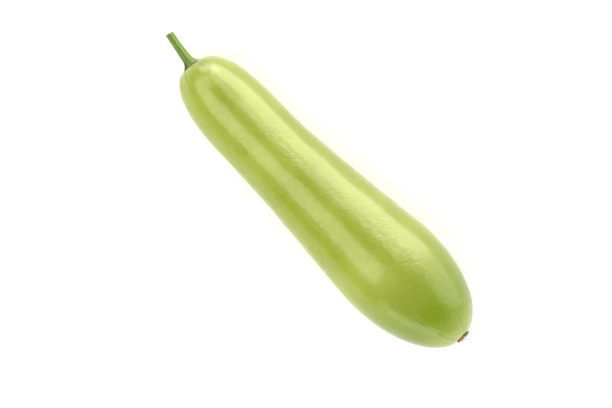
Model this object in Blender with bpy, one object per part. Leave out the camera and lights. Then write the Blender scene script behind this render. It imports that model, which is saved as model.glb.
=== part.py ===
"""Bottle gourd, picked and lying on its side: the fruit, its cut stem and the dry remnant of its flower.

Metres, +Z up. The fruit's length runs along +X, from the stem end to the blossom end. It rests on its neck and on
its belly, and the origin is the middle of the whole object's underside.
"""

from math import atan2, cos, exp, pi, radians, sin, tan

import bmesh
import bpy
from mathutils import Matrix, Vector
from mathutils.geometry import interpolate_bezier

# Driving dimensions
FRUIT_LENGTH = 0.3145
NECK_RADIUS = 0.0324
NECK_AT = 0.0649
BELLY_RADIUS = 0.0436
BELLY_AT = 0.2365
STEM_SEAT_RADIUS = 0.0095
BLOSSOM_SEAT_RADIUS = 0.0060
BOW = 0.0023  # how far the middle line swings towards -Y
FLAT_DEPTH = 0.0006  # how far the skin gives where it bears on the ground
SEAT_SLOPES = (tan(radians(6)), tan(radians(5.5)))  # the stem seat faces a little towards +Y and upwards
SEAT_FADE = 0.045  # how far along the fruit that slant reaches

STEM_LENGTH = 0.0335
STEM_RADIUS = 0.0033
STEM_TAPER = 0.22  # how much thicker it is at its foot, as a share of the radius
STEM_FOOT_RADIUS = 0.0084
STEM_FOOT_HEIGHT = 0.0024
STEM_SWING = 0.0016  # how far the cut end bends aside from the line out of its seat
STEM_RIDGES = 5
STEM_RIDGE_DEPTH = 0.07  # as a share of the radius
STEM_CUT_SLOPE = tan(radians(14))

REMNANT_RADIUS = 0.0054
REMNANT_HEIGHT = 0.0019
REMNANT_HOLLOW_RADIUS = 0.0026
REMNANT_HOLLOW_DEPTH = 0.0009
REMNANT_LOBES = 12
REMNANT_LOBE_DEPTH = 0.06  # as a share of the radius

GAP = 0.0003  # clearance between neighbouring solids

# Mesh fineness
FRUIT_SIDES = 60
FRUIT_STATIONS = (14, 18, 18)  # along the shoulder, the waist and the blossom end
STEM_SIDES = 30
STEM_STATIONS = 14
REMNANT_SIDES = 48

# Smooth outline of the fruit: distance along the axis and radius, with the handles on either side of each knot
OUTLINE = (
    ((0.0, STEM_SEAT_RADIUS), (0.0, STEM_SEAT_RADIUS + 0.0017), None),
    ((NECK_AT, NECK_RADIUS), (NECK_AT + 0.078, NECK_RADIUS), (NECK_AT - 0.0625, NECK_RADIUS)),
    ((BELLY_AT, BELLY_RADIUS), (BELLY_AT + 0.0437, BELLY_RADIUS), (BELLY_AT - 0.028, BELLY_RADIUS)),
    ((FRUIT_LENGTH, BLOSSOM_SEAT_RADIUS), None, (FRUIT_LENGTH - 0.0032, BLOSSOM_SEAT_RADIUS + 0.0186)),
)


def clear_scene():
    for obj in list(bpy.data.objects):
        bpy.data.objects.remove(obj)


def make_material(name, colour, roughness):
    material = bpy.data.materials.new(name)
    material.use_nodes = True
    shader = material.node_tree.nodes["Principled BSDF"]
    shader.inputs["Base Color"].default_value = (*colour, 1)
    shader.inputs["Roughness"].default_value = roughness
    shader.inputs["Metallic"].default_value = 0
    return material


def loft(name, rings, material):
    """A closed solid through equal rings of points, with a flat face over each end."""
    bm = bmesh.new()
    loops = [[bm.verts.new(point) for point in ring] for ring in rings]
    count = len(loops[0])
    for near, far in zip(loops, loops[1:]):
        for i in range(count):
            j = (i + 1) % count
            bm.faces.new((near[i], near[j], far[j], far[i]))
    bm.faces.new(reversed(loops[0]))
    bm.faces.new(loops[-1])
    bmesh.ops.recalc_face_normals(bm, faces=bm.faces)
    mesh = bpy.data.meshes.new(name)
    bm.to_mesh(mesh)
    bm.free()
    mesh.shade_smooth()
    mesh.set_sharp_from_angle(angle=radians(40))
    mesh.materials.append(material)
    obj = bpy.data.objects.new(name, mesh)
    bpy.context.scene.collection.objects.link(obj)
    return obj


def turn(i, sides):
    return 2 * pi * i / sides


def fruit_outline():
    """Points (distance, radius) along the outline, from the stem seat to the blossom seat."""
    points = []
    for start, end, stations in zip(OUTLINE, OUTLINE[1:], FRUIT_STATIONS):
        knots = (start[0], start[1], end[2], end[0])
        stretch = interpolate_bezier(*(Vector(knot) for knot in knots), stations + 1)
        points += stretch if not points else stretch[1:]
    return points


def middle_line(distance):
    """Sideways place of the fruit's axis: a shallow bow, fullest a third of the way along."""
    t = distance / FRUIT_LENGTH
    return -BOW * 27 / 4 * t * (1 - t) ** 2


def resting_slope(outline):
    """Slope of the axis at which the neck and the belly touch the ground together."""
    neck_half = [p for p in outline if p[0] < FRUIT_LENGTH / 3]
    belly_half = [p for p in outline if p[0] > FRUIT_LENGTH / 2]
    slope = 0
    for _ in range(8):
        neck = max(neck_half, key=lambda p: p[1] - slope * p[0])
        belly = max(belly_half, key=lambda p: p[1] - slope * p[0])
        slope = (belly[1] - neck[1]) / (belly[0] - neck[0])
    return slope


def make_fruit(outline, lean, material):
    """Returns the fruit and the height of its stem seat. The skin is pressed flat where it meets the ground."""
    rings = []
    for distance, radius in outline:
        centre = Vector((distance, middle_line(distance), 0))
        fade = max(1 - distance / SEAT_FADE, 0) ** 2
        ring = []
        for i in range(FRUIT_SIDES):
            angle = turn(i + 0.5, FRUIT_SIDES)
            across = radius * Vector((cos(angle), sin(angle)))
            slant = fade * across.dot(Vector(SEAT_SLOPES))
            ring.append(lean @ (centre + Vector((slant, *across))))
        rings.append(ring)
    seat_height = -min(point.z for ring in rings for point in ring) - FLAT_DEPTH
    for ring in rings:
        for point in ring:
            point.z = max(point.z + seat_height, 0)
    return loft("fruit", rings, material), seat_height


def stem_path(t):
    """Middle of the stem, from its foot on the fruit to its cut end, in the frame of the stem seat."""
    bend = t * t * (3 - t) / 2
    return Vector((-GAP - STEM_LENGTH * t, STEM_SWING * bend, 0))


def stem_radius(t):
    """Slender above, spreading into a foot on the fruit."""
    spread = exp(-STEM_LENGTH * t / STEM_FOOT_HEIGHT)
    return STEM_RADIUS * (1 + STEM_TAPER * (1 - t)) * (1 - spread) + STEM_FOOT_RADIUS * spread


def make_stem(material):
    rings = []
    for k in range(STEM_STATIONS):
        t = (k / (STEM_STATIONS - 1)) ** 1.6
        centre = stem_path(t)
        heading = (stem_path(t + 0.001) - stem_path(t)).normalized() if t else Vector((-1, 0, 0))
        side = heading.cross(Vector((0, 0, 1))).normalized()
        rise = side.cross(heading)
        ring = []
        for i in range(STEM_SIDES):
            angle = turn(i, STEM_SIDES)
            reach = stem_radius(t) * (1 + STEM_RIDGE_DEPTH * cos(STEM_RIDGES * angle))
            slant = -STEM_CUT_SLOPE * reach * sin(angle) * t**8  # the cut leans back over the fruit
            ring.append(centre + reach * (cos(angle) * side + sin(angle) * rise) + slant * heading)
        rings.append(ring)
    return loft("stem", rings, material)


def make_remnant(material):
    """A lobed corky button with a hollow in its middle, where the flower stood."""
    outer, hollow, rim = REMNANT_RADIUS, REMNANT_HOLLOW_RADIUS, REMNANT_HEIGHT
    floor = rim - REMNANT_HOLLOW_DEPTH
    crown = (outer + hollow) / 2
    steps = (
        (outer, 0.0),
        (outer, 0.35 * rim),
        ((outer + crown) / 2, 0.9 * rim),
        (crown, rim),
        (hollow, 0.85 * rim),
        (0.8 * hollow, floor),
        (0.3 * hollow, floor),
    )
    rings = []
    for radius, height in steps:
        ring = []
        for i in range(REMNANT_SIDES):
            angle = turn(i, REMNANT_SIDES)
            reach = radius * (1 + REMNANT_LOBE_DEPTH * cos(REMNANT_LOBES * angle))
            ring.append(Vector((GAP + height, reach * cos(angle), reach * sin(angle))))
        rings.append(ring)
    return loft("flower_remnant", rings, material)


def main():
    clear_scene()
    skin = make_material("gourd_skin", (0.36, 0.49, 0.06), 0.35)
    stalk = make_material("stem_green", (0.13, 0.27, 0.04), 0.5)
    cork = make_material("dry_cork", (0.38, 0.27, 0.11), 0.85)

    outline = fruit_outline()
    lean_angle = atan2(resting_slope(outline), 1)
    lean = Matrix.Rotation(-lean_angle, 3, "Y")
    fruit, seat_height = make_fruit(outline, lean, skin)

    stem = make_stem(stalk)
    stem.location = (0, 0, seat_height)
    remnant = make_remnant(cork)
    remnant.location = lean @ Vector((FRUIT_LENGTH, 0, 0)) + Vector((0, 0, seat_height))
    outwards = Vector((-1, 0, 0)).rotation_difference(Vector((-1, *SEAT_SLOPES)))
    stem.rotation_euler = (lean @ outwards.to_matrix()).to_euler()
    remnant.rotation_euler = (0, -lean_angle, 0)

    gourd = bpy.data.objects.new("bottle_gourd", None)
    bpy.context.scene.collection.objects.link(gourd)
    for piece in (fruit, stem, remnant):
        piece.parent = gourd
    bpy.context.view_layer.update()
    points = [piece.matrix_world @ v.co for piece in (fruit, stem, remnant) for v in piece.data.vertices]
    for axis in (0, 1):
        places = [point[axis] for point in points]
        gourd.location[axis] = -(min(places) + max(places)) / 2


main()
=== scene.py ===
# A bottle gourd lying on a pale studio floor: waxy skin, ridged stem, dry remnant of the flower.
# Sizes in the dictionaries are millimetres, and the frame and the scene are metres.

from math import cos, pi, radians, sin, tan

import bpy
from mathutils import Matrix, Vector


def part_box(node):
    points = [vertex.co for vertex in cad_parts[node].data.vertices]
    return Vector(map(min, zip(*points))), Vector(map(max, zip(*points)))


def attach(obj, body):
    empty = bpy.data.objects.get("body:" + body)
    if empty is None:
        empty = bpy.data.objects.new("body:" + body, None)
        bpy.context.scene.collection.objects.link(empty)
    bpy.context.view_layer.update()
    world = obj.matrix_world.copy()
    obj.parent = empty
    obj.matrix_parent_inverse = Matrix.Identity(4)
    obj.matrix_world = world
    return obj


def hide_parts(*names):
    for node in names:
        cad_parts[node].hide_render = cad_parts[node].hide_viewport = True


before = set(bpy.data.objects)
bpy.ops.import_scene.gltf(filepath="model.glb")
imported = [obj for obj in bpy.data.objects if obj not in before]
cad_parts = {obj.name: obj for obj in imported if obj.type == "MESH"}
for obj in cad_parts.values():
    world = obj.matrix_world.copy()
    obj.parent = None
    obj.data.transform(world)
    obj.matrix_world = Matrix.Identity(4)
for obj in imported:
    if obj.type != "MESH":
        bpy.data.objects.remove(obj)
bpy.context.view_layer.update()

mm = 0.001


def linear(hexColour):
    # sRGB hex to the linear values that shaders take
    parts = [int(hexColour[i:i + 2], 16) / 255 for i in (1, 3, 5)]
    return (*(p / 12.92 if p <= 0.04045 else ((p + 0.055) / 1.055) ** 2.4 for p in parts), 1)


def add(tree, kind, feeds=(), **settings):
    # one node; feeds go to its inputs in order or by name: values, sockets or nodes (their first output)
    node = tree.nodes.new(kind)
    for setting, value in settings.items():
        setattr(node, setting, value)
    inputs = [socket for socket in node.inputs if socket.enabled]
    for key, feed in (feeds if isinstance(feeds, dict) else dict(enumerate(feeds))).items():
        socket = inputs[key] if isinstance(key, int) else next(s for s in inputs if s.name == key)
        if isinstance(feed, bpy.types.Node):
            feed = next(output for output in feed.outputs if output.enabled)
        if isinstance(feed, bpy.types.NodeSocket):
            tree.links.new(feed, socket)
        elif feed is not None:
            socket.default_value = feed
    return node


def newTree(name, sizes):
    # a geometry tree with one input for each size, then its material
    tree = bpy.data.node_groups.new(name, "GeometryNodeTree")
    for label, value in sizes.items():
        kind = "NodeSocketVector" if hasattr(value, "__len__") else "NodeSocketFloat"
        if isinstance(value, int):
            kind = "NodeSocketInt"
        tree.interface.new_socket(label, in_out="INPUT", socket_type=kind)
    tree.interface.new_socket("Material", in_out="INPUT", socket_type="NodeSocketMaterial")
    tree.interface.new_socket("Geometry", in_out="OUTPUT", socket_type="NodeSocketGeometry")
    return tree, tree.nodes.new("NodeGroupInput").outputs


def closeTree(tree, shape, material):
    # every tree ends the same way: seam closed, smooth shading, metres, real copies, material
    shape = add(tree, "GeometryNodeMergeByDistance", {"Geometry": shape, "Distance": 1e-4})
    shape = add(tree, "GeometryNodeSetShadeSmooth", [shape])
    shape = add(tree, "GeometryNodeTransform", {"Geometry": shape, "Scale": (mm, mm, mm)})
    shape = add(tree, "GeometryNodeRealizeInstances", [shape])
    shape = add(tree, "GeometryNodeSetMaterial", {"Geometry": shape, "Material": material})
    add(tree, "NodeGroupOutput", [shape])


def grow(name, tree, sizes, material):
    # runs a tree on an empty object and keeps the plain mesh that it makes
    piece = bpy.data.objects.new(name, bpy.data.meshes.new(name))
    bpy.context.scene.collection.objects.link(piece)
    modifier = piece.modifiers.new("grow", "NODES")
    modifier.node_group = tree
    for item in tree.interface.items_tree:
        if item.in_out == "INPUT":
            modifier[item.identifier] = material if item.name == "Material" else sizes[item.name]
    graph = bpy.context.evaluated_depsgraph_get()
    mesh = bpy.data.meshes.new_from_object(
        piece.evaluated_get(graph), preserve_all_data_layers=True, depsgraph=graph)
    piece.modifiers.clear()
    piece.data = mesh
    mesh.name = name
    return piece


# the fruit: its outline is three smooth curves between a stem seat, a neck, a belly and a blossom seat
fruit = {
    "Length": 314.5,
    "Stem Seat": 9.5,
    "Neck At": 64.9,
    "Neck Radius": 32.4,
    "Belly At": 236.5,
    "Belly Radius": 43.6,
    "Blossom Seat": 6.0,
    "Bow": 2.3,
    "Lean": 3.671,  # degrees, so that the neck and the belly both lie on the floor
    "Seat Slopes": (0.0, tan(radians(6)), tan(radians(5.5))),  # the stem seat faces a little aside and up
    "Seat Fade": 45.0,
    "Give": 0.6,  # how far the skin flattens where it bears
    "Stations": 556,  # mesh rings along the outline
    "Sides": 170,
    "Vein Depth": 0.22,
    "Lobe Depth": 0.5,
    "Swell Depth": 0.5,
    "Crinkle Depth": 0.033,
    "Low Corner": tuple(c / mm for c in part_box("fruit")[0]),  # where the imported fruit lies
    "High Corner": tuple(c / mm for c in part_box("fruit")[1]),
}

veins = {
    "count": 8,  # strands that run from the stem to the flower
    "start": 0.0204,  # where the first one lies, in turns
    "waves": ((1, -0.569, 0.35), (2, 0.093, 0.18)),  # uneven spacing: turns, lag, sway
    "wander": 0.05,  # how far each strays from a straight run, as a share of the spacing
    "wanderLength": 70.0,
    "faintest": 0.65,
    "halfWidth": 1.05,  # of a groove
    "ridgeAt": 1.5,  # the raised lip beside each groove
    "stemDeep": 8.0,  # full depth up to here from the middle of the seat, fading to the reach
    "stemReach": 42.0,
    "blossomDeep": 5.0,
    "blossomReach": 72.0,
    "blossomShare": 0.34,  # the strands are fainter toward the flower
    "middle": 0.10,  # what is left of them between
    "seed": 3.0,
}

crinkles = {
    "slant": radians(62),  # from the fruit's length
    "across": 2.0,  # from one wrinkle to the next
    "along": 4.6,  # the length of one
    "girth": 38.0,  # the mean radius that turns are measured out on
}


def veinPattern(tree, turn, fromStem, fromBlossom, radius):
    # the strands under the skin, for the mesh and the colour alike: groove, ridge beside it, lobe between
    turn = add(tree, "ShaderNodeMath", [turn, veins["start"]], operation="ADD")
    theta = add(tree, "ShaderNodeMath", [turn, 2 * pi], operation="MULTIPLY")
    wander = add(tree, "ShaderNodeMath", [fromStem, 1 / veins["wanderLength"], theta],
                 operation="MULTIPLY_ADD")
    wander = add(tree, "ShaderNodeMath", [wander], operation="SINE")
    shift = add(tree, "ShaderNodeMath", [wander, veins["wander"]], operation="MULTIPLY")
    for turns, lag, sway in veins["waves"]:
        wave = add(tree, "ShaderNodeMath", [theta, turns, lag], operation="MULTIPLY_ADD")
        wave = add(tree, "ShaderNodeMath", [wave], operation="SINE")
        shift = add(tree, "ShaderNodeMath", [wave, sway, shift], operation="MULTIPLY_ADD")
    strand = add(tree, "ShaderNodeMath", [turn, veins["count"], shift], operation="MULTIPLY_ADD")
    nearest = add(tree, "ShaderNodeMath", [strand], operation="ROUND")
    off = add(tree, "ShaderNodeMath", [strand, nearest], operation="SUBTRACT")
    number = add(tree, "ShaderNodeMath", [nearest, veins["count"]], operation="FLOORED_MODULO")
    number = add(tree, "ShaderNodeMath", [number, veins["seed"]], operation="ADD")
    strength = add(tree, "ShaderNodeTexWhiteNoise", [number], noise_dimensions="1D").outputs["Value"]
    strength = add(tree, "ShaderNodeMapRange", [strength, 0, 1, veins["faintest"], 1])
    spacing = add(tree, "ShaderNodeMath", [radius, 2 * pi / veins["count"]], operation="MULTIPLY")
    distance = add(tree, "ShaderNodeMath", [off], operation="ABSOLUTE")
    distance = add(tree, "ShaderNodeMath", [distance, spacing], operation="MULTIPLY")
    smooth = {"interpolation_type": "SMOOTHSTEP"}
    nearStem = add(tree, "ShaderNodeMapRange",
                   [fromStem, veins["stemDeep"], veins["stemReach"], 1, 0], **smooth)
    nearBlossom = add(tree, "ShaderNodeMapRange",
                      [fromBlossom, veins["blossomDeep"], veins["blossomReach"], veins["blossomShare"], 0],
                      **smooth)
    ends = add(tree, "ShaderNodeMath", [nearStem, nearBlossom], operation="MAXIMUM")
    ends = add(tree, "ShaderNodeMapRange", [ends, 0, 1, veins["middle"], 1])
    depth = add(tree, "ShaderNodeMath", [strength, ends], operation="MULTIPLY")
    groove = add(tree, "ShaderNodeMapRange", [distance, 0, veins["halfWidth"], 1, 0], **smooth)
    groove = add(tree, "ShaderNodeMath", [groove, depth], operation="MULTIPLY")
    beside = add(tree, "ShaderNodeMath", [distance, veins["ridgeAt"]], operation="SUBTRACT")
    beside = add(tree, "ShaderNodeMath", [beside], operation="ABSOLUTE")
    ridge = add(tree, "ShaderNodeMapRange", [beside, 0, veins["halfWidth"], 1, 0], **smooth)
    ridge = add(tree, "ShaderNodeMath", [ridge, depth], operation="MULTIPLY")
    lobe = add(tree, "ShaderNodeMath", [off, 2 * pi], operation="MULTIPLY")
    lobe = add(tree, "ShaderNodeMath", [lobe], operation="COSINE")
    lobe = add(tree, "ShaderNodeMath", [lobe, depth], operation="MULTIPLY")
    return groove, ridge, lobe


def crinklePattern(tree, turn, fromStem, detail):
    # short slanting wrinkles, each a few millimetres long
    around = add(tree, "ShaderNodeMath", [turn, 2 * pi * crinkles["girth"]], operation="MULTIPLY")
    place = add(tree, "ShaderNodeCombineXYZ", [fromStem, around])
    place = add(tree, "ShaderNodeVectorRotate",
                {"Vector": place, "Angle": crinkles["slant"]}, rotation_type="Z_AXIS")
    place = add(tree, "ShaderNodeVectorMath", [place, (1 / crinkles["along"], 1 / crinkles["across"], 1)],
                operation="MULTIPLY")
    noise = add(tree, "ShaderNodeTexNoise",
                {"Vector": place, "Scale": 1, "Detail": detail}, noise_dimensions="2D")
    return noise.outputs[0]


def turnedSkinTree():
    # a profile turned about X: a closed skin that knows how far along and round each point is
    tree = bpy.data.node_groups.new("turned skin", "GeometryNodeTree")
    for label, kind in (("Profile", "Geometry"), ("Stations", "Int"), ("Sides", "Int")):
        tree.interface.new_socket(label, in_out="INPUT", socket_type="NodeSocket" + kind)
    tree.interface.new_socket("Skin", in_out="OUTPUT", socket_type="NodeSocketGeometry")
    given = tree.nodes.new("NodeGroupInput").outputs
    columns = add(tree, "ShaderNodeMath", [given["Sides"], 1], operation="ADD")
    grid = add(tree, "GeometryNodeMeshGrid", [1, 1, given["Stations"], columns])
    spot = add(tree, "ShaderNodeSeparateXYZ", [tree.nodes.new("GeometryNodeInputPosition")])
    factor = add(tree, "ShaderNodeMath", [spot.outputs["X"], 0.5], operation="ADD")
    turn = add(tree, "ShaderNodeMath", [spot.outputs["Y"], 0.5], operation="ADD")
    whole = add(tree, "GeometryNodeCurveLength", [given["Profile"]])
    start = add(tree, "ShaderNodeMath", [factor, whole], operation="MULTIPLY")
    finish = add(tree, "ShaderNodeMath", [whole, start], operation="SUBTRACT")
    sample = add(tree, "GeometryNodeSampleCurve", {"Curves": given["Profile"], "Factor": factor},
                 mode="FACTOR", use_all_curves=True)
    reach = add(tree, "ShaderNodeSeparateXYZ", [sample.outputs["Position"]])
    shape = grid
    for label, value in (("fromStem", start), ("fromBlossom", finish), ("radius", reach.outputs["Y"])):
        shape = add(tree, "GeometryNodeStoreNamedAttribute",
                    {"Geometry": shape, "Name": label, "Value": value}, data_type="FLOAT", domain="POINT")
    wrap = add(tree, "ShaderNodeCombineXYZ", [turn, factor])
    shape = add(tree, "GeometryNodeStoreNamedAttribute",
                {"Geometry": shape, "Name": "skinMap", "Value": wrap}, data_type="FLOAT2", domain="CORNER")
    shape = add(tree, "GeometryNodeStoreNamedAttribute",
                {"Geometry": shape, "Name": "turn", "Value": turn}, data_type="FLOAT", domain="POINT")
    angle = add(tree, "ShaderNodeMath", [turn, 2 * pi, -pi / 2], operation="MULTIPLY_ADD")
    side = add(tree, "ShaderNodeMath", [angle], operation="COSINE")
    side = add(tree, "ShaderNodeMath", [side, reach.outputs["Y"]], operation="MULTIPLY")
    rise = add(tree, "ShaderNodeMath", [angle], operation="SINE")
    rise = add(tree, "ShaderNodeMath", [rise, reach.outputs["Y"]], operation="MULTIPLY")
    place = add(tree, "ShaderNodeCombineXYZ", [reach.outputs["X"], side, rise])
    shape = add(tree, "GeometryNodeSetPosition", {"Geometry": shape, "Position": place})
    shape = add(tree, "GeometryNodeFlipFaces", [shape])
    add(tree, "NodeGroupOutput", [shape])
    return tree


def turnOutline(tree, turnedSkin, parts, given):
    # joins the parts of an outline in their order and turns them into a skin
    profile = tree.nodes.new("GeometryNodeJoinGeometry")
    for part in reversed(parts):
        tree.links.new(part.outputs[0], profile.inputs[0])
    skin = add(tree, "GeometryNodeGroup", node_tree=turnedSkin)
    tree.links.new(profile.outputs[0], skin.inputs["Profile"])
    for label in ("Stations", "Sides"):
        tree.links.new(given[label], skin.inputs[label])
    return skin


def fruitTree(turnedSkin):
    tree, given = newTree("gourd fruit", fruit)

    def knot(along, reach, alongShift=0.0, reachShift=0.0):
        # a point of the outline, moved along the length and away from the axis
        if isinstance(along, bpy.types.NodeSocket):
            along = add(tree, "ShaderNodeMath", [along, alongShift], operation="ADD")
        if isinstance(reach, bpy.types.NodeSocket):
            reach = add(tree, "ShaderNodeMath", [reach, reachShift], operation="ADD")
        return add(tree, "ShaderNodeCombineXYZ", [along, reach])

    neck = (given["Neck At"], given["Neck Radius"])
    belly = (given["Belly At"], given["Belly Radius"])
    tip = (given["Length"], given["Blossom Seat"])
    seat = (0.0, given["Stem Seat"])
    parts = [add(tree, "GeometryNodeCurvePrimitiveLine", {"Start": (0, 0, 0), "End": knot(*seat)})]
    curves = (  # from, handle, handle, to; handles in mm along the axis and away from it, 256 steps each
        (seat, (0, 1.7), (-62.5, 0), neck),
        (neck, (78.0, 0), (-28.0, 0), belly),
        (belly, (43.7, 0), (-3.2, 18.6), tip),
    )
    for start, leave, arrive, end in curves:
        parts.append(add(tree, "GeometryNodeCurvePrimitiveBezierSegment",
                         [256, knot(*start), knot(*start, *leave), knot(*end, *arrive), knot(*end)]))
    pole = knot(given["Length"], 0.0)
    parts.append(add(tree, "GeometryNodeCurvePrimitiveLine", {"Start": knot(*tip), "End": pole}))
    shape = turnOutline(tree, turnedSkin, parts, given)

    # the slant of the stem seat, the bow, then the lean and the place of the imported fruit
    spot = add(tree, "ShaderNodeSeparateXYZ", [tree.nodes.new("GeometryNodeInputPosition")])
    across = add(tree, "ShaderNodeCombineXYZ", [0, spot.outputs["Y"], spot.outputs["Z"]])
    slant = add(tree, "ShaderNodeVectorMath", [across, given["Seat Slopes"]], operation="DOT_PRODUCT")
    fade = add(tree, "ShaderNodeMapRange", [spot.outputs["X"], 0, given["Seat Fade"], 1, 0])
    fade = add(tree, "ShaderNodeMath", [fade, 2], operation="POWER")
    slant = add(tree, "ShaderNodeMath", [slant.outputs["Value"], fade], operation="MULTIPLY")
    part = add(tree, "ShaderNodeMath", [spot.outputs["X"], given["Length"]], operation="DIVIDE")
    rest = add(tree, "ShaderNodeMath", [1, part], operation="SUBTRACT")
    rest = add(tree, "ShaderNodeMath", [rest, 2], operation="POWER")
    bow = add(tree, "ShaderNodeMath", [part, rest], operation="MULTIPLY")
    bow = add(tree, "ShaderNodeMath", [bow, given["Bow"]], operation="MULTIPLY")
    bow = add(tree, "ShaderNodeMath", [bow, -27 / 4], operation="MULTIPLY")  # its full depth a third along
    shape = add(tree, "GeometryNodeSetPosition",
                {"Geometry": shape, "Offset": add(tree, "ShaderNodeCombineXYZ", [slant, bow])})
    lean = add(tree, "ShaderNodeMath", [given["Lean"]], operation="RADIANS")
    lean = add(tree, "ShaderNodeMath", [lean, -1], operation="MULTIPLY")
    shape = add(tree, "GeometryNodeTransform",
                {"Geometry": shape, "Rotation": add(tree, "ShaderNodeCombineXYZ", [0, lean])})
    box = add(tree, "GeometryNodeBoundBox", [shape])
    shift = None
    for end, corner in (("Min", "Low Corner"), ("Max", "High Corner")):
        gap = add(tree, "ShaderNodeVectorMath", [given[corner], box.outputs[end]], operation="SUBTRACT")
        shift = add(tree, "ShaderNodeVectorMath", [gap, shift], operation="ADD") if shift else gap
    middle = add(tree, "ShaderNodeVectorMath", {0: shift, "Scale": 0.5}, operation="SCALE")
    middle = add(tree, "ShaderNodeSeparateXYZ", [middle])
    lowest = add(tree, "ShaderNodeSeparateXYZ", [box.outputs["Min"]])
    drop = add(tree, "ShaderNodeMath", [lowest.outputs["Z"], given["Give"]], operation="ADD")
    drop = add(tree, "ShaderNodeMath", [drop, -1], operation="MULTIPLY")
    shift = add(tree, "ShaderNodeCombineXYZ", [middle.outputs["X"], middle.outputs["Y"], drop])
    shape = add(tree, "GeometryNodeTransform", {"Geometry": shape, "Translation": shift})

    # relief: grooves and lobes over the strands, broad swells, fine wrinkles
    turn, fromStem, fromBlossom, radius = (
        add(tree, "GeometryNodeInputNamedAttribute", [label], data_type="FLOAT")
        for label in ("turn", "fromStem", "fromBlossom", "radius"))
    groove, _, lobe = veinPattern(tree, turn, fromStem, fromBlossom, radius)
    place = tree.nodes.new("GeometryNodeInputPosition")
    swell = add(tree, "ShaderNodeTexNoise",  # about 50 mm from one to the next
                {"Vector": place, "Scale": 1 / 48, "Detail": 2, "Roughness": 0.45})
    swell = add(tree, "ShaderNodeMapRange", [swell.outputs[0], 0.25, 0.75, -1, 1])
    crinkle = add(tree, "ShaderNodeMapRange", [crinklePattern(tree, turn, fromStem, 0), 0.25, 0.75, -1, 1])
    relief = 0.0
    patterns = (
        (groove, "Vein Depth", -1),
        (lobe, "Lobe Depth", -0.5),
        (swell, "Swell Depth", 1),
        (crinkle, "Crinkle Depth", 1),
    )
    for pattern, depth, sign in patterns:
        height = add(tree, "ShaderNodeMath", [pattern, given[depth]], operation="MULTIPLY")
        relief = add(tree, "ShaderNodeMath", [height, sign, relief], operation="MULTIPLY_ADD")
    # none of it under the stem, under the flower or along the seam below
    onSkin = add(tree, "ShaderNodeMapRange", [radius, 5.5, 16, 0, 1], interpolation_type="SMOOTHSTEP")
    offSeam = add(tree, "ShaderNodeMath", [turn, -0.5], operation="ADD")
    offSeam = add(tree, "ShaderNodeMath", [offSeam], operation="ABSOLUTE")
    offSeam = add(tree, "ShaderNodeMapRange", [offSeam, 0.44, 0.5, 1, 0], interpolation_type="SMOOTHSTEP")
    onSkin = add(tree, "ShaderNodeMath", [onSkin, offSeam], operation="MULTIPLY")
    relief = add(tree, "ShaderNodeMath", [relief, onSkin], operation="MULTIPLY")
    outward = tree.nodes.new("GeometryNodeInputNormal")
    offset = add(tree, "ShaderNodeVectorMath", {0: outward, "Scale": relief}, operation="SCALE")
    shape = add(tree, "GeometryNodeSetPosition", {"Geometry": shape, "Offset": offset})

    # flat where it bears on the floor
    spot = add(tree, "ShaderNodeSeparateXYZ", [tree.nodes.new("GeometryNodeInputPosition")])
    height = add(tree, "ShaderNodeMath", [spot.outputs["Z"], 0], operation="MAXIMUM")
    place = add(tree, "ShaderNodeCombineXYZ", [spot.outputs["X"], spot.outputs["Y"], height])
    shape = add(tree, "GeometryNodeSetPosition", {"Geometry": shape, "Position": place})
    closeTree(tree, shape, given["Material"])
    return tree


# the stem: a ribbed stalk that spreads into a foot, bent a little and cut on a slant
stem = {
    "Length": 33.6,
    "Tip Radius": 3.3,
    "Waist At": 9.0,
    "Waist Radius": 3.95,
    "Foot Radius": 9.0,
    "Foot Edge": 0.5,
    "Hollow": 0.5,  # how far the pith sinks in the cut
    "Ribs": 5.0,
    "Rib Depth": 0.13,  # share of the radius
    "First Groove": 86.0,  # degrees
    "Swing": 1.6,  # how far the cut end bends aside
    "Cut Slope": (0.1, 0.15, 0.0),  # the knife's slant, sideways and upwards
    "Stations": 150,
    "Sides": 120,
    "Seat": (0.0, 0.0, 0.0),  # filled in once the fruit is grown
    "Heading": (0.0, radians(5.5 - fruit["Lean"]), radians(-6)),  # square to its seat
}


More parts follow.
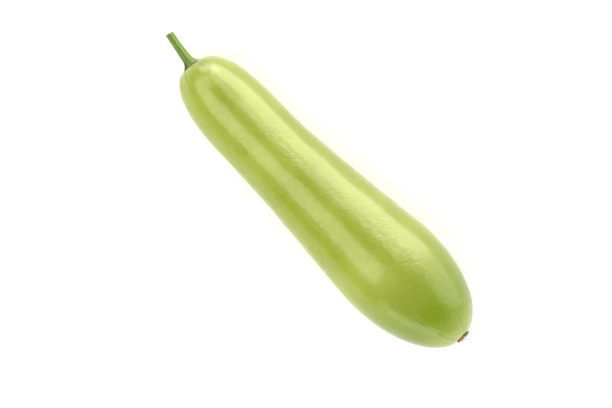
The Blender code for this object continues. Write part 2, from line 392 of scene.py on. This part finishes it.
def stemTree(turnedSkin):
    tree, given = newTree("gourd stem", stem)
    long, tip = given["Length"], given["Tip Radius"]
    waistAt, waist = given["Waist At"], given["Waist Radius"]
    foot, edge = given["Foot Radius"], given["Foot Edge"]
    # the outline: up the edge of the foot, in to the waist, along the stalk, over the cut rim, into the pith
    flare = add(tree, "ShaderNodeCombineXYZ", [edge, foot])
    flareOut = add(tree, "ShaderNodeVectorMath", [flare, (0.7, -1.6, 0)], operation="ADD")
    narrow = add(tree, "ShaderNodeCombineXYZ", [waistAt, waist])
    narrowIn = add(tree, "ShaderNodeVectorMath", [narrow, (-5.2, 0.1, 0)], operation="ADD")
    narrowOut = add(tree, "ShaderNodeVectorMath", [narrow, (7, -0.35, 0)], operation="ADD")
    end = add(tree, "ShaderNodeCombineXYZ", [long, tip])
    endIn = add(tree, "ShaderNodeVectorMath", [end, (-9, 0, 0)], operation="ADD")
    rim = add(tree, "ShaderNodeVectorMath", [end, (0.25, -0.3, 0)], operation="ADD")
    pith = add(tree, "ShaderNodeMath", [long, given["Hollow"]], operation="SUBTRACT")
    pith = add(tree, "ShaderNodeCombineXYZ", [pith, 0])
    pithOut = add(tree, "ShaderNodeVectorMath", [pith, (0, 1.6, 0)], operation="ADD")
    rimIn = add(tree, "ShaderNodeVectorMath", [rim, (0, -0.8, 0)], operation="ADD")
    under = add(tree, "ShaderNodeCombineXYZ", [0, foot])
    parts = (
        add(tree, "GeometryNodeCurvePrimitiveLine", {"Start": (0, 0, 0), "End": under}),
        add(tree, "GeometryNodeCurvePrimitiveLine", {"Start": under, "End": flare}),
        add(tree, "GeometryNodeCurvePrimitiveBezierSegment", [64, flare, flareOut, narrowIn, narrow]),
        add(tree, "GeometryNodeCurvePrimitiveBezierSegment", [64, narrow, narrowOut, endIn, end]),
        add(tree, "GeometryNodeCurvePrimitiveLine", {"Start": end, "End": rim}),
        add(tree, "GeometryNodeCurvePrimitiveBezierSegment", [24, rim, rimIn, pithOut, pith]),
    )
    shape = turnOutline(tree, turnedSkin, parts, given)

    # ribs with narrow grooves between them, deeper in the foot, and fine strands on each rib
    turn = add(tree, "GeometryNodeInputNamedAttribute", ["turn"], data_type="FLOAT")
    spot = add(tree, "ShaderNodeSeparateXYZ", [tree.nodes.new("GeometryNodeInputPosition")])
    travel = add(tree, "ShaderNodeMath", [spot.outputs["X"], long], operation="DIVIDE")
    around = add(tree, "ShaderNodeMath", [turn, 2 * pi, -pi / 2], operation="MULTIPLY_ADD")
    first = add(tree, "ShaderNodeMath", [given["First Groove"]], operation="RADIANS")
    around = add(tree, "ShaderNodeMath", [around, first], operation="SUBTRACT")
    sway = add(tree, "ShaderNodeMath", [around], operation="SINE")
    around = add(tree, "ShaderNodeMath", [sway, 0.16, around], operation="MULTIPLY_ADD")  # unequal ribs
    around = add(tree, "ShaderNodeMath", [travel, 0.12, around], operation="MULTIPLY_ADD")  # a slight twist
    half = add(tree, "ShaderNodeMath", [given["Ribs"], 0.5], operation="MULTIPLY")
    rib = add(tree, "ShaderNodeMath", [around, half], operation="MULTIPLY")
    rib = add(tree, "ShaderNodeMath", [rib], operation="SINE")
    rib = add(tree, "ShaderNodeMath", [rib], operation="ABSOLUTE")
    rib = add(tree, "ShaderNodeMath", [rib, 0.7], operation="POWER")
    for label, value in (("rib", rib), ("travel", travel)):
        shape = add(tree, "GeometryNodeStoreNamedAttribute",
                    {"Geometry": shape, "Name": label, "Value": value}, data_type="FLOAT", domain="POINT")
    rib, travel, turn = (add(tree, "GeometryNodeInputNamedAttribute", [label], data_type="FLOAT")
                         for label in ("rib", "travel", "turn"))
    strands = add(tree, "ShaderNodeMath", [turn, 31 * 2 * pi], operation="MULTIPLY")  # 31 of them
    strands = add(tree, "ShaderNodeMath", [strands], operation="SINE")
    depth = add(tree, "ShaderNodeMapRange", [travel, 0.02, 0.2, 2.4, 1], interpolation_type="SMOOTHSTEP")
    depth = add(tree, "ShaderNodeMath", [depth, given["Rib Depth"]], operation="MULTIPLY")
    bulge = add(tree, "ShaderNodeMath", [rib, 0.75], operation="SUBTRACT")
    bulge = add(tree, "ShaderNodeMath", [bulge, depth], operation="MULTIPLY")
    swell = add(tree, "ShaderNodeMath", [strands, 0.008, bulge], operation="MULTIPLY_ADD")
    swell = add(tree, "ShaderNodeMath", [swell, 1], operation="ADD")
    spot = add(tree, "ShaderNodeSeparateXYZ", [tree.nodes.new("GeometryNodeInputPosition")])
    side = add(tree, "ShaderNodeMath", [spot.outputs["Y"], swell], operation="MULTIPLY")
    rise = add(tree, "ShaderNodeMath", [spot.outputs["Z"], swell], operation="MULTIPLY")
    place = add(tree, "ShaderNodeCombineXYZ", [spot.outputs["X"], side, rise])
    shape = add(tree, "GeometryNodeSetPosition", {"Geometry": shape, "Position": place})

    # turned to leave the fruit backwards, bent as it grew, cut on a slant
    shape = add(tree, "GeometryNodeTransform", {"Geometry": shape, "Rotation": (0, 0, pi)})
    bend = add(tree, "ShaderNodeMath", [3, travel], operation="SUBTRACT")  # bends like a rod held by its foot
    for _ in range(2):
        bend = add(tree, "ShaderNodeMath", [bend, travel], operation="MULTIPLY")
    bend = add(tree, "ShaderNodeMath", [bend, 0.5], operation="MULTIPLY")
    swing = add(tree, "ShaderNodeMath", [bend, given["Swing"]], operation="MULTIPLY")
    spot = add(tree, "ShaderNodeSeparateXYZ", [tree.nodes.new("GeometryNodeInputPosition")])
    across = add(tree, "ShaderNodeCombineXYZ", [spot.outputs["Y"], spot.outputs["Z"]])
    slant = add(tree, "ShaderNodeVectorMath", [across, given["Cut Slope"]], operation="DOT_PRODUCT")
    fade = add(tree, "ShaderNodeMath", [travel, 8], operation="POWER")
    slant = add(tree, "ShaderNodeMath", [slant.outputs["Value"], fade], operation="MULTIPLY")
    offset = add(tree, "ShaderNodeCombineXYZ", [slant, swing])
    shape = add(tree, "GeometryNodeSetPosition", {"Geometry": shape, "Offset": offset})
    shape = add(tree, "GeometryNodeTransform",
                {"Geometry": shape, "Translation": given["Seat"], "Rotation": given["Heading"]})
    closeTree(tree, shape, given["Material"])
    return tree


# the remnant: a dry disc with a hollow, set round with corky scales and papery flakes
remnant = {
    "Radius": 5.7,
    "Height": 1.9,
    "Outer Scales": 16,
    "Inner Scales": 11,
    "Outer Ring": 4.9,
    "Inner Ring": 3.7,
    "Scale Size": 0.76,
    "Flakes": 11,
    "Flake Length": 0.95,
    "Stations": 70,
    "Sides": 96,
    "Seat": (0.0, 0.0, 0.0),  # filled in once the fruit is grown
    "Lean": fruit["Lean"],
    "Seed": 5,
}


def remnantTree(turnedSkin):
    tree, given = newTree("flower remnant", remnant)
    radius, height = given["Radius"], given["Height"]
    full = add(tree, "ShaderNodeCombineXYZ", [height, radius])
    rounds = (  # the outline as shares of the height and the radius
        (0.0, 1.0), (0.28, 0.98),  # edge
        (0.42, 0.8), (0.45, 0.62),  # shoulder
        (0.92, 0.5), (0.9, 0.4),  # ring
        (0.45, 0.3), (0.4, 0.0),  # hollow
    )
    knots = [add(tree, "ShaderNodeVectorMath", [full, (up, out, 0)], operation="MULTIPLY")
             for up, out in rounds]
    parts = [add(tree, "GeometryNodeCurvePrimitiveLine", {"Start": (0, 0, 0), "End": knots[0]})]
    for near, far in zip(knots, knots[1:]):
        parts.append(add(tree, "GeometryNodeCurvePrimitiveLine", {"Start": near, "End": far}))
    base = turnOutline(tree, turnedSkin, parts, given)
    reach, turn = (add(tree, "GeometryNodeInputNamedAttribute", [label], data_type="FLOAT")
                   for label in ("radius", "turn"))
    reach = add(tree, "ShaderNodeMath", [reach, radius], operation="DIVIDE")
    place = tree.nodes.new("GeometryNodeInputPosition")
    rough = add(tree, "ShaderNodeTexNoise", {"Vector": place, "Scale": 0.9, "Detail": 3})  # 1 mm warts
    rough = add(tree, "ShaderNodeMapRange", [rough.outputs[0], 0.3, 0.7, -0.28, 0.28])
    spot = add(tree, "ShaderNodeSeparateXYZ", [place])
    above = add(tree, "ShaderNodeMapRange", [spot.outputs["X"], 0.05, 0.5, 0, 1])
    rough = add(tree, "ShaderNodeMath", [rough, above], operation="MULTIPLY")
    # three style stubs stand in the hollow, with pits between them
    star = add(tree, "ShaderNodeMath", [turn, 3 * 2 * pi], operation="MULTIPLY")
    star = add(tree, "ShaderNodeMath", [star], operation="COSINE")
    within = add(tree, "ShaderNodeMapRange", [reach, 0.04, 0.2, 0, 1], interpolation_type="SMOOTHSTEP")
    without = add(tree, "ShaderNodeMapRange", [reach, 0.24, 0.36, 1, 0], interpolation_type="SMOOTHSTEP")
    star = add(tree, "ShaderNodeMath", [star, within], operation="MULTIPLY")
    star = add(tree, "ShaderNodeMath", [star, without], operation="MULTIPLY")
    star = add(tree, "ShaderNodeMath", [star, above], operation="MULTIPLY")
    push = add(tree, "ShaderNodeMath", [star, 0.35, rough], operation="MULTIPLY_ADD")
    push = add(tree, "ShaderNodeCombineXYZ", [push])
    base = add(tree, "GeometryNodeSetPosition", {"Geometry": base, "Offset": push})
    # the disc's tone: light on the ring and the stubs, dark in the hollow, the pits and the edge; brown
    # tissue darkened further as painted shade
    crest = add(tree, "ShaderNodeMapRange", [reach, 0.3, 0.46, 0, 1], interpolation_type="SMOOTHSTEP")
    outer = add(tree, "ShaderNodeMapRange", [reach, 0.5, 0.66, 1, 0], interpolation_type="SMOOTHSTEP")
    tone = add(tree, "ShaderNodeMath", [crest, outer], operation="MULTIPLY")
    pits = add(tree, "ShaderNodeMath", [star, 0.22, 0.12], operation="MULTIPLY_ADD")
    tone = add(tree, "ShaderNodeMath", [tone, 0.8, pits], operation="MULTIPLY_ADD")
    base = add(tree, "GeometryNodeStoreNamedAttribute",
               {"Geometry": base, "Name": "tone", "Value": tone}, data_type="FLOAT", domain="POINT")

    # corky scales in two rings, then papery flakes at the edge; a tone from dark to light goes with each
    joined = tree.nodes.new("GeometryNodeJoinGeometry")
    tree.links.new(base.outputs[0], joined.inputs[0])
    rings = (  # how many, on what ring, how large, how stretched, tones, height over the seat, tumble
        ("Outer Scales", "Outer Ring", "Scale Size", (0.75, 0.85, 1.05), (0.3, 1.0), 1.05, 0.35),
        ("Inner Scales", "Inner Ring", "Scale Size", (1.0, 0.75, 0.8), (0.0, 0.85), 1.7, 0.35),
        ("Flakes", "Radius", "Flake Length", (0.22, 1.1, 0.8), (0.0, 0.5), 0.6, 0.9),
    )
    for order, (count, ring, size, stretch, tones, rise, tilt) in enumerate(rings):
        seed = add(tree, "ShaderNodeMath", [given["Seed"], 10 * order], operation="ADD")
        circle = add(tree, "GeometryNodeMeshCircle",
                     {"Vertices": given[count], "Radius": given[ring]}, fill_type="NONE")
        circle = add(tree, "GeometryNodeTransform",
                     {"Geometry": circle, "Rotation": (0, pi / 2, 0), "Translation": (rise, 0, 0)})
        jitter = add(tree, "FunctionNodeRandomValue",
                     {"Min": (-0.12, -0.22, -0.22), "Max": (0.12, 0.22, 0.22), "Seed": seed},
                     data_type="FLOAT_VECTOR")
        circle = add(tree, "GeometryNodeSetPosition", {"Geometry": circle, "Offset": jitter})
        ball = add(tree, "GeometryNodeMeshIcoSphere", {"Radius": given[size], "Subdivisions": 3})
        ball = add(tree, "GeometryNodeTransform", {"Geometry": ball, "Scale": stretch})
        lie = add(tree, "ShaderNodeSeparateXYZ", [tree.nodes.new("GeometryNodeInputPosition")])
        lie = add(tree, "ShaderNodeMath", [lie.outputs["Z"], lie.outputs["Y"]], operation="ARCTAN2")
        sway = add(tree, "FunctionNodeRandomValue",
                   {"Min": (-tilt, -tilt, -tilt), "Max": (tilt, tilt, tilt), "Seed": seed},
                   data_type="FLOAT_VECTOR")
        lie = add(tree, "ShaderNodeCombineXYZ", [lie])
        turned = add(tree, "ShaderNodeVectorMath", [sway, lie], operation="ADD")
        grown = add(tree, "FunctionNodeRandomValue",
                    {"Min": (0.65, 0.65, 0.65), "Max": (1.2, 1.3, 1.2), "Seed": seed},
                    data_type="FLOAT_VECTOR")
        copies = add(tree, "GeometryNodeInstanceOnPoints",
                     {"Points": circle, "Instance": ball, "Rotation": turned, "Scale": grown})
        each = add(tree, "FunctionNodeRandomValue",
                   {"Min": tones[0], "Max": tones[1], "Seed": seed}, data_type="FLOAT")
        copies = add(tree, "GeometryNodeStoreNamedAttribute",
                     {"Geometry": copies, "Name": "tone", "Value": each},
                     data_type="FLOAT", domain="INSTANCE")
        copies = add(tree, "GeometryNodeRealizeInstances", [copies])
        place = tree.nodes.new("GeometryNodeInputPosition")
        place = add(tree, "ShaderNodeVectorMath", {0: place, "Scale": 1.6}, operation="SCALE")
        lump = add(tree, "ShaderNodeTexNoise", {"Vector": place, "Scale": 1, "Detail": 2})  # 0.6 mm lumps
        lump = add(tree, "ShaderNodeMapRange", [lump.outputs[0], 0.3, 0.7, -0.16, 0.16])
        outward = tree.nodes.new("GeometryNodeInputNormal")
        lump = add(tree, "ShaderNodeVectorMath", {0: outward, "Scale": lump}, operation="SCALE")
        copies = add(tree, "GeometryNodeSetPosition", {"Geometry": copies, "Offset": lump})
        tree.links.new(copies.outputs[0], joined.inputs[0])
    lean = add(tree, "ShaderNodeMath", [given["Lean"]], operation="RADIANS")
    lean = add(tree, "ShaderNodeMath", [lean, -1], operation="MULTIPLY")
    shape = add(tree, "GeometryNodeTransform",
                {"Geometry": joined, "Translation": given["Seat"],
                 "Rotation": add(tree, "ShaderNodeCombineXYZ", [0, lean])})
    closeTree(tree, shape, given["Material"])
    return tree


def newMaterial(name, sockets):
    # a plain shader with its constant settings, and the tree to build on
    material = bpy.data.materials.new(name)
    material.use_nodes = True
    tree = material.node_tree
    shader = tree.nodes["Principled BSDF"]
    for socket, value in sockets.items():
        shader.inputs[socket].default_value = value
    return material, tree, shader


def waxySkin():
    # living gourd skin: chlorophyll green under a thin clear wax, so soft colour and a satin gloss
    material, tree, shader = newMaterial("waxyGourdSkin", {
        "IOR": 1.42,
        "Subsurface Weight": 0.18,
        "Subsurface Radius": (1.0, 1.2, 0.25),  # green goes deepest, blue hardly at all
        "Subsurface Scale": 0.0025,
        "Coat Weight": 0.5,
        "Coat Roughness": 0.15,
        "Coat IOR": 1.5,
    })
    smooth = {"interpolation_type": "SMOOTHSTEP"}
    turn = add(tree, "ShaderNodeUVMap", uv_map="skinMap")
    turn = add(tree, "ShaderNodeSeparateXYZ", [turn]).outputs["X"]
    fromStem, fromBlossom, radius = (add(tree, "ShaderNodeAttribute", attribute_name=label).outputs["Fac"]
                                     for label in ("fromStem", "fromBlossom", "radius"))
    groove, ridge, lobe = veinPattern(tree, turn, fromStem, fromBlossom, radius)
    place = add(tree, "ShaderNodeTexCoord").outputs["Object"]

    # clouds about 45 mm across and mottle of 4 mm
    drift = add(tree, "ShaderNodeTexNoise", {"Vector": place, "Scale": 22, "Detail": 4, "Roughness": 0.55})
    drift = add(tree, "ShaderNodeMapRange", [drift.outputs[0], 0.35, 0.65, 0, 1], **smooth)
    fine = add(tree, "ShaderNodeTexNoise", {"Vector": place, "Scale": 260, "Detail": 3, "Roughness": 0.6})
    fine = add(tree, "ShaderNodeMapRange", [fine.outputs[0], 0.4, 0.7, 0, 0.22], **smooth)
    # zones, in millimetres over the skin from the middle of either seat
    belly = add(tree, "ShaderNodeMapRange", [fromBlossom, 30, 122, 1, 0], **smooth)
    collar = add(tree, "ShaderNodeMapRange", [fromStem, 10, 60, 0.75, 0], **smooth)
    # pale young skin round the stem, lightened further as a painted highlight
    youngAndPaintedHighlight = add(tree, "ShaderNodeMapRange", [fromStem, 9, 24, 1, 0], **smooth)
    tip = add(tree, "ShaderNodeMapRange", [fromBlossom, 8, 48, 0.7, 0], **smooth)
    rim = add(tree, "ShaderNodeMapRange", [fromBlossom, 6, 15, 0.8, 0], **smooth)
    # streaks that run lengthwise near both ends: 60 round the fruit, each 50 mm long
    around = add(tree, "ShaderNodeMath", [turn, 60], operation="MULTIPLY")
    along = add(tree, "ShaderNodeMath", [fromStem, 0.02], operation="MULTIPLY")
    streak = add(tree, "ShaderNodeCombineXYZ", [around, along])
    streak = add(tree, "ShaderNodeTexNoise",
                 {"Vector": streak, "Scale": 1, "Detail": 2}, noise_dimensions="2D")
    streak = add(tree, "ShaderNodeMapRange", [streak.outputs[0], 0.45, 0.65, 0, 0.6], **smooth)
    ends = add(tree, "ShaderNodeMath", [fromStem, fromBlossom], operation="MINIMUM")
    ends = add(tree, "ShaderNodeMapRange", [ends, 8, 55, 1, 0], **smooth)
    streak = add(tree, "ShaderNodeMath", [streak, ends], operation="MULTIPLY")
    # the strands: a greener flush over each, pale beside its groove, green in it and olive near the flower
    flush = add(tree, "ShaderNodeMapRange", [lobe, 0.65, 1, 0, 0.5], **smooth)
    pale = add(tree, "ShaderNodeMath", [ridge, 0.55], operation="MULTIPLY")
    deep = add(tree, "ShaderNodeMath", [groove, 1.2], operation="MULTIPLY")
    strand = add(tree, "ShaderNodeMapRange", [fromStem, 30, 90, 0, 1], **smooth)
    strand = add(tree, "ShaderNodeMix", {"Factor": strand, "A": linear("#829e00"), "B": linear("#788538")},
                 data_type="RGBA")
    # pores 2.4 mm apart, coarser than the real ones
    pores = add(tree, "ShaderNodeTexVoronoi", {"Vector": place, "Scale": 420, "Randomness": 1})
    pores = add(tree, "ShaderNodeMapRange", [pores.outputs["Distance"], 0.1, 0.22, 0.18, 0], **smooth)
    layers = (
        (drift, linear("#abb93a")),
        (fine, linear("#b3c256")),
        (belly, linear("#7b8f08")),
        (collar, linear("#b9c63e")),
        (youngAndPaintedHighlight, linear("#cad65a")),
        (tip, linear("#b4bd68")),
        (streak, linear("#93a63c")),
        (rim, linear("#b39f58")),
        (flush, linear("#9cb814")),
        (pale, linear("#b7c660")),
        (deep, strand),
        (pores, linear("#c3d07c")),
    )
    colour = linear("#a0ae2a")
    for share, tone in layers:
        colour = add(tree, "ShaderNodeMix", {"Factor": share, "A": colour, "B": tone}, data_type="RGBA")
    tree.links.new(colour.outputs[2], shader.inputs["Base Color"])

    # the wax is a little thicker in some places
    wax = add(tree, "ShaderNodeMapRange", [drift, 0, 1, 0.28, 0.38])
    tree.links.new(wax.outputs[0], shader.inputs["Roughness"])

    # relief too fine for the mesh: wrinkles in patches over the body, 1.4 mm grain, the edge of each groove
    creased = add(tree, "ShaderNodeMapRange", [crinklePattern(tree, turn, fromStem, 3), 0.2, 0.8, 0, 1])
    awake = add(tree, "ShaderNodeMapRange", [fromStem, 40, 120, 0.25, 1], **smooth)
    asleep = add(tree, "ShaderNodeMapRange", [fromBlossom, 40, 110, 0.15, 1], **smooth)
    patch = add(tree, "ShaderNodeTexNoise", {"Vector": place, "Scale": 30, "Detail": 1})  # 33 mm across
    patch = add(tree, "ShaderNodeMapRange", [patch.outputs[0], 0.4, 0.62, 0.2, 1], **smooth)
    amount = add(tree, "ShaderNodeMath", [awake, asleep], operation="MULTIPLY")
    amount = add(tree, "ShaderNodeMath", [amount, patch], operation="MULTIPLY")
    creased = add(tree, "ShaderNodeMath", [creased, amount], operation="MULTIPLY")
    grain = add(tree, "ShaderNodeTexNoise", {"Vector": place, "Scale": 700, "Detail": 2})
    bump = add(tree, "ShaderNodeBump", {"Height": creased, "Distance": 0.0003, "Strength": 1})
    bump = add(tree, "ShaderNodeBump", {"Height": grain.outputs[0], "Distance": 0.00003, "Normal": bump})
    bump = add(tree, "ShaderNodeBump", {"Height": groove, "Distance": 0.0002, "Normal": bump}, invert=True)
    tree.links.new(bump.outputs[0], shader.inputs["Normal"])
    return material


def stalkGreen():
    # a ridged, faintly hairy stalk: matte grey-green ribs that scatter a little light, deep green grooves,
    # with painted shade on one side and about the foot
    material, tree, shader = newMaterial("ribbedStalk", {
        "Roughness": 0.55,
        "IOR": 1.45,
        "Subsurface Weight": 0.1,
        "Subsurface Radius": (0.8, 1.0, 0.3),
        "Subsurface Scale": 0.0015,
        "Specular IOR Level": 0.22,
        "Sheen Weight": 0.04,
        "Sheen Roughness": 0.4,
    })
    smooth = {"interpolation_type": "SMOOTHSTEP"}
    rib, travel = (add(tree, "ShaderNodeAttribute", attribute_name=label).outputs["Fac"]
                   for label in ("rib", "travel"))
    turn = add(tree, "ShaderNodeUVMap", uv_map="skinMap")
    turn = add(tree, "ShaderNodeSeparateXYZ", [turn]).outputs["X"]
    place = add(tree, "ShaderNodeTexCoord").outputs["Object"]
    side = add(tree, "ShaderNodeMath", [turn, 2 * pi], operation="MULTIPLY")
    side = add(tree, "ShaderNodeMath", [side], operation="SINE")  # 1 on the side away from the long boxes
    ribbed = add(tree, "ShaderNodeMapRange", [rib, 0.25, 0.95, 0, 1], **smooth)
    # painted shade: the ribs on the side away from the lamps are darker green
    paintedShadeSide = add(tree, "ShaderNodeMapRange", [side, -0.1, 0.25, 0, 1], **smooth)
    paintedShadeSide = add(tree, "ShaderNodeMath", [paintedShadeSide, 0.7], operation="MULTIPLY")
    # fibres 0.7 mm wide and 7 mm long
    fibres = add(tree, "ShaderNodeVectorMath", [place, (150, 1500, 1500)], operation="MULTIPLY")
    fibres = add(tree, "ShaderNodeTexNoise", {"Vector": fibres, "Scale": 1, "Detail": 3})
    fibres = add(tree, "ShaderNodeMapRange", [fibres.outputs[0], 0.4, 0.65, 0, 0.4], **smooth)
    # the foot: paler, with painted shade on the side away from the lamps and in its grooves, and a dark hem
    # of painted shade where it meets the fruit
    paleFoot = add(tree, "ShaderNodeMapRange", [travel, 0.0, 0.22, 0.5, 0], **smooth)
    # painted shade: the foot goes dark on the side away from the lamps
    foot = add(tree, "ShaderNodeMapRange", [travel, 0.08, 0.24, 0.95, 0], **smooth)
    away = add(tree, "ShaderNodeMapRange", [side, 0.35, 0.65, 0, 1], **smooth)
    foot = add(tree, "ShaderNodeMath", [foot, away], operation="MULTIPLY")
    # painted shade: the grooves are darkened near the foot
    crease = add(tree, "ShaderNodeMapRange", [rib, 0.0, 0.45, 1, 0], **smooth)
    low = add(tree, "ShaderNodeMapRange", [travel, 0.0, 0.16, 0.9, 0], **smooth)
    crease = add(tree, "ShaderNodeMath", [crease, low], operation="MULTIPLY")
    # painted shade: a dark band at the edge of the foot, against the fruit
    hem = add(tree, "ShaderNodeMapRange", [travel, 0.012, 0.05, 0.8, 0], **smooth)
    layers = (
        (ribbed, "#90a83e"),
        (paintedShadeSide, "#587818"),
        (fibres, "#9ab05c"),
        (paleFoot, "#a3ae6c"),
        (foot, "#33490a"),
        (crease, "#2f4708"),
        (hem, "#3c5a0a"),
    )
    colour = linear("#4c7800")
    for share, tone in layers:
        colour = add(tree, "ShaderNodeMix",
                     {"Factor": share, "A": colour, "B": linear(tone)}, data_type="RGBA")
    tree.links.new(colour.outputs[2], shader.inputs["Base Color"])
    bump = add(tree, "ShaderNodeBump", {"Height": fibres, "Distance": 0.00008})
    tree.links.new(bump.outputs[0], shader.inputs["Normal"])
    return material


def dryCork():
    # dead flower tissue: matte, cream where it stands up, brown and olive in the gaps, with painted shade
    # deepening the gaps
    material, tree, shader = newMaterial("dryFlowerCork", {"Roughness": 0.85, "Specular IOR Level": 0.25})
    tone = add(tree, "ShaderNodeAttribute", attribute_name="tone").outputs["Fac"]
    place = add(tree, "ShaderNodeTexCoord").outputs["Object"]
    mottle = add(tree, "ShaderNodeTexNoise", {"Vector": place, "Scale": 1800, "Detail": 3})  # 0.55 mm specks
    mottle = add(tree, "ShaderNodeMapRange", [mottle.outputs[0], 0.3, 0.7, -0.18, 0.18])
    tone = add(tree, "ShaderNodeMath", [tone, mottle], operation="ADD")
    ramp = add(tree, "ShaderNodeValToRGB", [tone])
    stops = ((0.0, "#2a2409"), (0.25, "#5c5018"), (0.42, "#968a48"), (0.65, "#c6b878"), (1.0, "#eee2b0"))
    while len(ramp.color_ramp.elements) < len(stops):
        ramp.color_ramp.elements.new(0.5)
    for element, (position, hexColour) in zip(ramp.color_ramp.elements, stops):
        element.position = position
        element.color = linear(hexColour)
    tree.links.new(ramp.outputs["Color"], shader.inputs["Base Color"])
    grain = add(tree, "ShaderNodeTexNoise", {"Vector": place, "Scale": 2600, "Detail": 2})  # 0.4 mm
    bump = add(tree, "ShaderNodeBump", {"Height": grain.outputs[0], "Distance": 0.0001})
    tree.links.new(bump.outputs[0], shader.inputs["Normal"])
    return material


turnedSkin = turnedSkinTree()

skinPiece = grow("gourd_fruit", fruitTree(turnedSkin), fruit, waxySkin())
reach = [point.value for point in skinPiece.data.attributes["fromStem"].data]
stemSeat, flowerSeat = (skinPiece.data.vertices[reach.index(pick(reach))].co.copy() for pick in (min, max))
print("fruit grown:", len(skinPiece.data.polygons), "faces, seats at", tuple(stemSeat), tuple(flowerSeat))

stem["Seat"] = tuple(stemSeat / mm)
stemPiece = grow("gourd_stem", stemTree(turnedSkin), stem, stalkGreen())
print("stem grown:", len(stemPiece.data.polygons), "faces")

remnant["Seat"] = tuple(flowerSeat / mm + Vector((0, 1.3, 0)))  # it sits a little off the middle
remnantPiece = grow("flower_remnant_scales", remnantTree(turnedSkin), remnant, dryCork())
print("flower remnant grown:", len(remnantPiece.data.polygons), "faces")

for piece, node, slot in (
    (skinPiece, "fruit", "gourd_skin"),
    (stemPiece, "stem", "stem_green"),
    (remnantPiece, "flower_remnant", "dry_cork"),
):
    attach(piece, "root")
    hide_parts(node)

camera = {
    "azimuth": 45.63,  # degrees round and up
    "elevation": 85.0,
    "distance": 1.389,  # metres, like the point it looks at
    "aim": (0.0075, -0.0129, 0.04),
    "lens": 100,
}


def placeCamera():
    # nearly overhead, turned so that the fruit lies across the view from corner to corner
    turn, tilt = radians(camera["azimuth"]), radians(camera["elevation"])
    back = Vector((sin(turn) * cos(tilt), -cos(turn) * cos(tilt), sin(tilt)))
    right = Vector((cos(turn), sin(turn), 0))
    data = bpy.data.cameras.new("camera")
    data.lens = camera["lens"]
    eye = bpy.data.objects.new("camera", data)
    bpy.context.scene.collection.objects.link(eye)
    eye.matrix_world = Matrix((right, back.cross(right), back)).transposed().to_4x4()
    eye.location = Vector(camera["aim"]) + back * camera["distance"]
    bpy.context.scene.camera = eye


def softbox(name, azimuth, elevation, distance, size, radiance, sees, slide=0.0):
    # a flat lamp that faces the fruit from a bearing and a height in degrees, slid along the fruit in metres
    turn, tilt = radians(azimuth), radians(elevation)
    out = Vector((cos(turn) * cos(tilt), sin(turn) * cos(tilt), sin(tilt)))
    level = Vector((-sin(turn), cos(turn), 0))
    data = bpy.data.lights.new(name, "AREA")
    data.shape = "RECTANGLE"
    data.size, data.size_y = size
    data.energy = 4 * radiance * size[0] * size[1]  # as bright however large it is
    lamp = bpy.data.objects.new(name, data)
    bpy.context.scene.collection.objects.link(lamp)
    lamp.matrix_world = Matrix((level, out.cross(level), out)).transposed().to_4x4()
    lamp.location = Vector((slide, 0, 0.05)) + out * distance
    lamp.visible_camera = False
    lamp.visible_diffuse = sees != "gloss"
    lamp.visible_glossy = sees != "colour"
    if sees == "gloss":
        data.color = (1, 0.95, 0.92)  # a little warm


placeCamera()
# gloss: long boxes beside the fruit for the broad highlight, which weakens toward the flower
softbox("longBox", 90, 25, 1.2, (3.1, 1.06), 2.35, "gloss", slide=-0.15)
softbox("longBoxStemHalf", 90, 25, 1.19, (1.85, 1.06), 2.8, "gloss", slide=-0.78)
# boxes higher up soften its edge over the middle of the fruit
softbox("upperBox", 90, 62, 1.2, (1.6, 0.42), 2.3, "gloss", slide=-0.8)
softbox("upperBoxFlowerHalf", 90, 56, 1.2, (1.6, 0.3), 1.4, "gloss", slide=0.3)
softbox("overheadBox", 90, 90, 1.2, (1.4, 0.5), 2.8, "gloss", slide=-1.9)
# a strip beyond them gives the second highlight, on the other side of the stem half
softbox("stripBox", 90, 125, 1.2, (2.2, 0.95), 2.8, "gloss", slide=-1.1)
# small gleams on the shoulder by the stem and on the lower flank by the flower
softbox("stemEndBox", 151, 8, 1.6, (0.9, 0.6), 4.2, "gloss")
softbox("flowerSideBox", 305, 9, 2.0, (1.8, 0.7), 2.2, "gloss")
# colour: soft light from both sides, above and both ends
softbox("backFill", 85, 5, 2.0, (2.4, 0.9), 4.2, "colour")
softbox("topFill", 330, 72, 2.0, (1.5, 1.5), 2.5, "colour")
softbox("frontFill", 275, 36, 2.0, (2.4, 1.2), 1.65, "colour")
softbox("flowerEndFill", 10, 15, 2.0, (1.2, 1.2), 2.2, "colour")
softbox("stemEndFill", 170, 16, 2.0, (1.2, 1.2), 2.3, "colour")
print("lamps placed")

bpy.ops.mesh.primitive_plane_add(size=12, location=(0, 0, 0))
floor = bpy.context.object
floor.name = "floor"
# a milky sheet lit from below, so the ground stays white beside the fruit and shadows are faint
litSheet = newMaterial("litAcrylicSheet", {
    "Roughness": 0.9,
    "Base Color": linear("#d6d6d4"),
    "Emission Color": (1, 1, 1, 1),
    "Emission Strength": 0.46,
})[0]
floor.data.materials.append(litSheet)

world = bpy.data.worlds.new("studio")
bpy.context.scene.world = world
world.use_nodes = True
sky = world.node_tree.nodes["Background"]
sky.inputs["Color"].default_value = (1, 1, 1, 1)
sky.inputs["Strength"].default_value = 0.12
world.cycles_visibility.glossy = False  # gloss comes from the boxes alone
bpy.context.scene.view_settings.view_transform = "Standard"
